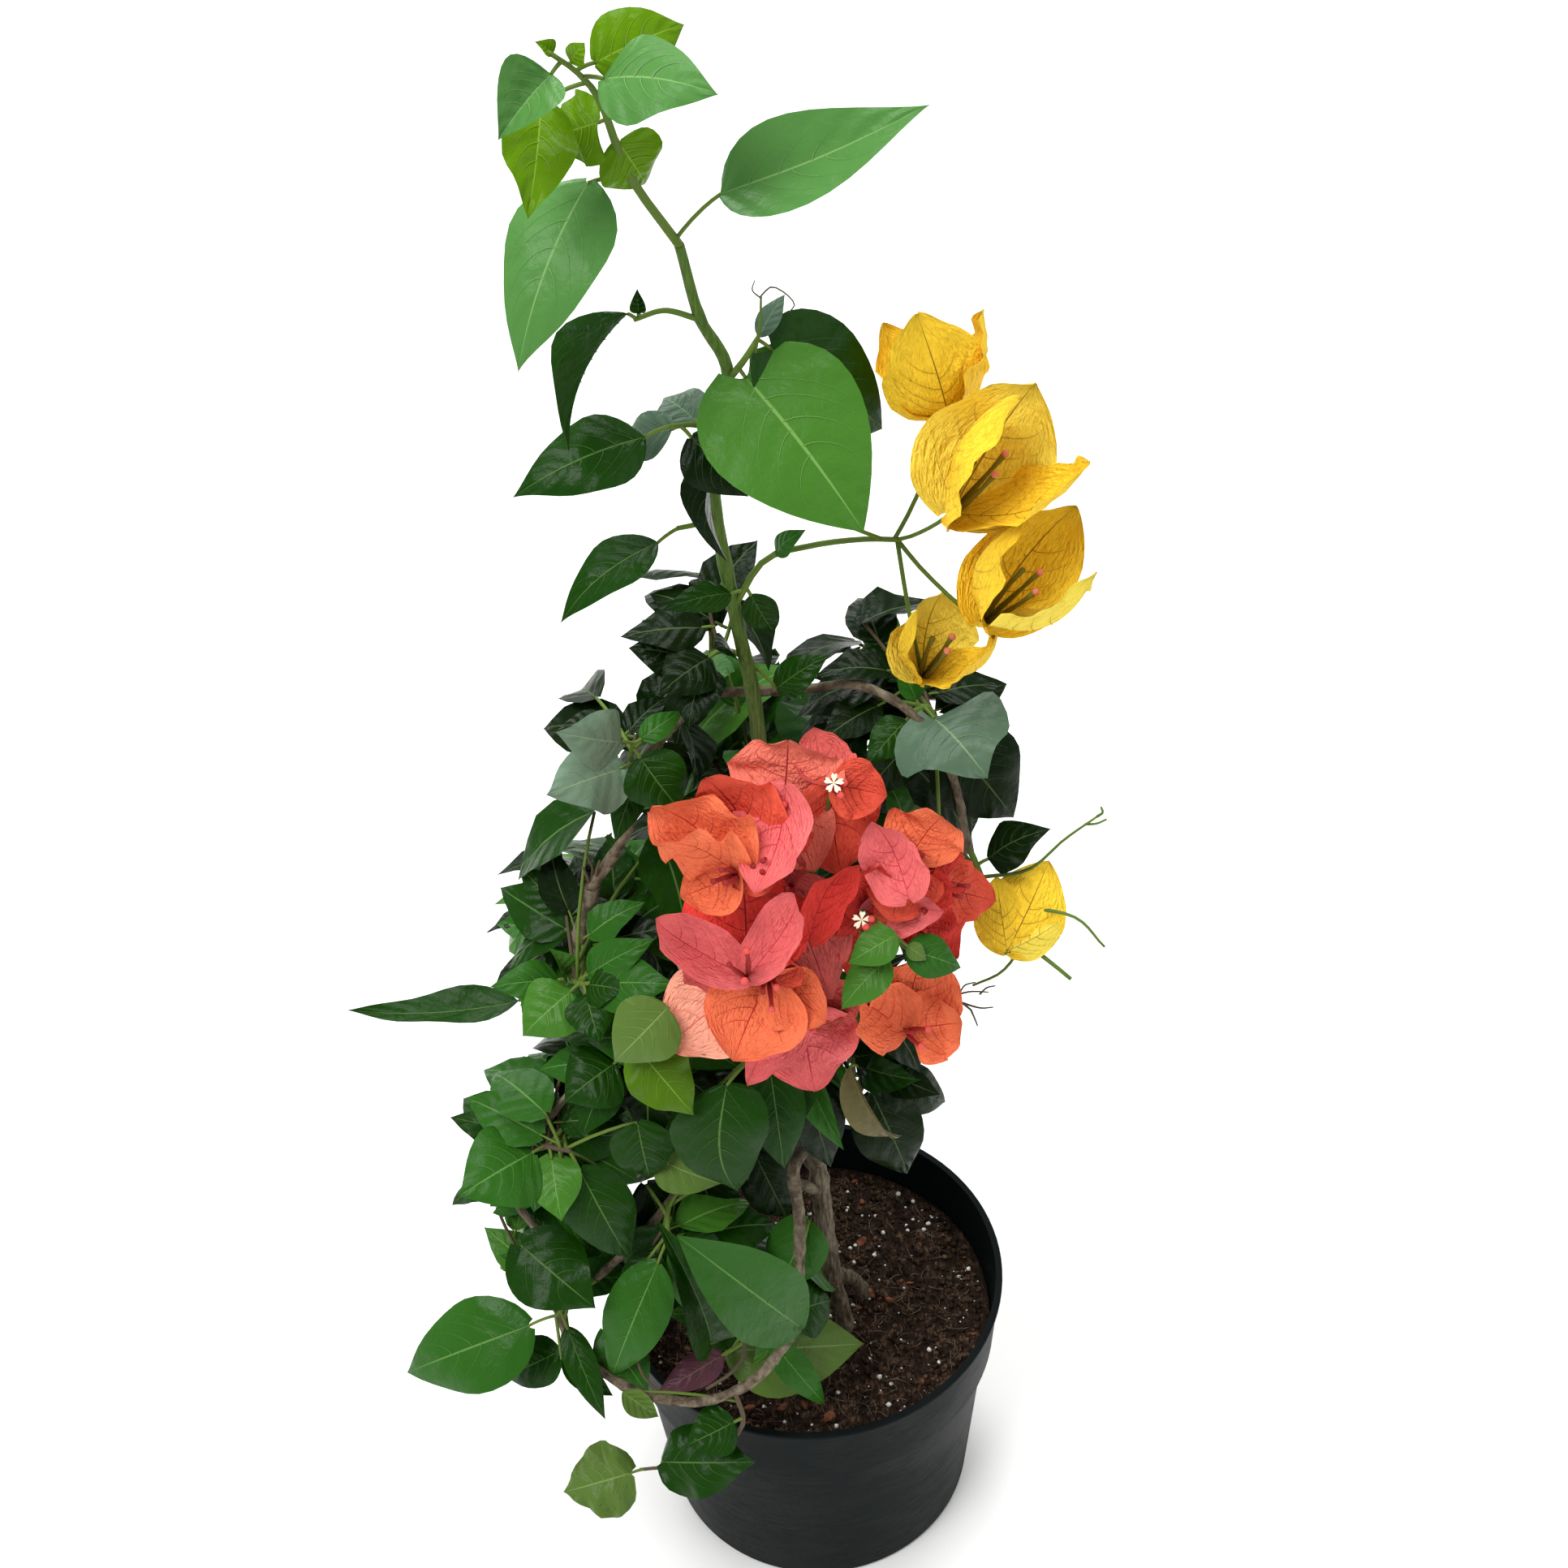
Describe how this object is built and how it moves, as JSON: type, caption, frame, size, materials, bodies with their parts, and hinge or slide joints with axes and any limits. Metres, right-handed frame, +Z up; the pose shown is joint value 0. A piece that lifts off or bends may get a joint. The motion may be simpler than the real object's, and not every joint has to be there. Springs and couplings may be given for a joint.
{
  "type": "bougainvillea bush",
  "caption": "Climbing bougainvillea in a dark nursery pot: twining woody stems, leafy skirts, coral and golden papery blooms and a bright top shoot.",
  "frame": {"origin": "centre of the pot's flat underside", "axes": "+Z up along the pot's axis, -Y towards the side that the blooms face, +X to the right of somebody who faces the blooms"},
  "size_m": [0.3503, 0.2726, 0.8864],
  "materials": {
    "pot": "smooth matte, a little scuffed",
    "soil": "loose and rough",
    "bark": "rough, finely furrowed",
    "green_stem": "smooth, slightly waxy",
    "leaf": "smooth with a soft sheen",
    "coral_bloom": "papery",
    "yellow_bloom": "papery"
  },
  "bodies": {
    "root": {"pot": "pot", "soil": "soil", "trunk": "bark", "leader": "green_stem", "left_stem": "bark", "arch_left": "bark", "arch_right": "bark", "hoop_down": "bark", "hoop_front": "bark", "hoop_up": "bark", "low_stem": "bark", "right_stem": "bark", "back_stem": "bark", "back_left_stem": "bark", "top_shoot": "leaf", "folded_leaf": "leaf", "heart_leaves": "leaf", "dark_leaves": "leaf", "long_leaf": "leaf", "yellow_spray": "yellow_bloom", "collar_back": "leaf", "collar_left": "leaf", "collar_right": "leaf", "coral_blooms": "coral_bloom", "right_twigs": "green_stem", "left_upper_leaves": "leaf", "left_middle_leaves": "leaf", "left_lower_leaves": "leaf", "front_middle_leaves": "leaf", "right_low_leaves": "leaf", "front_left_leaves": "leaf", "front_low_leaves": "leaf", "left_low_leaves": "leaf", "hanging_leaves": "leaf", "right_leaves": "leaf", "back_leaves": "leaf", "back_left_leaves": "leaf", "back_low_leaves": "leaf"}
  },
  "joints": []
}
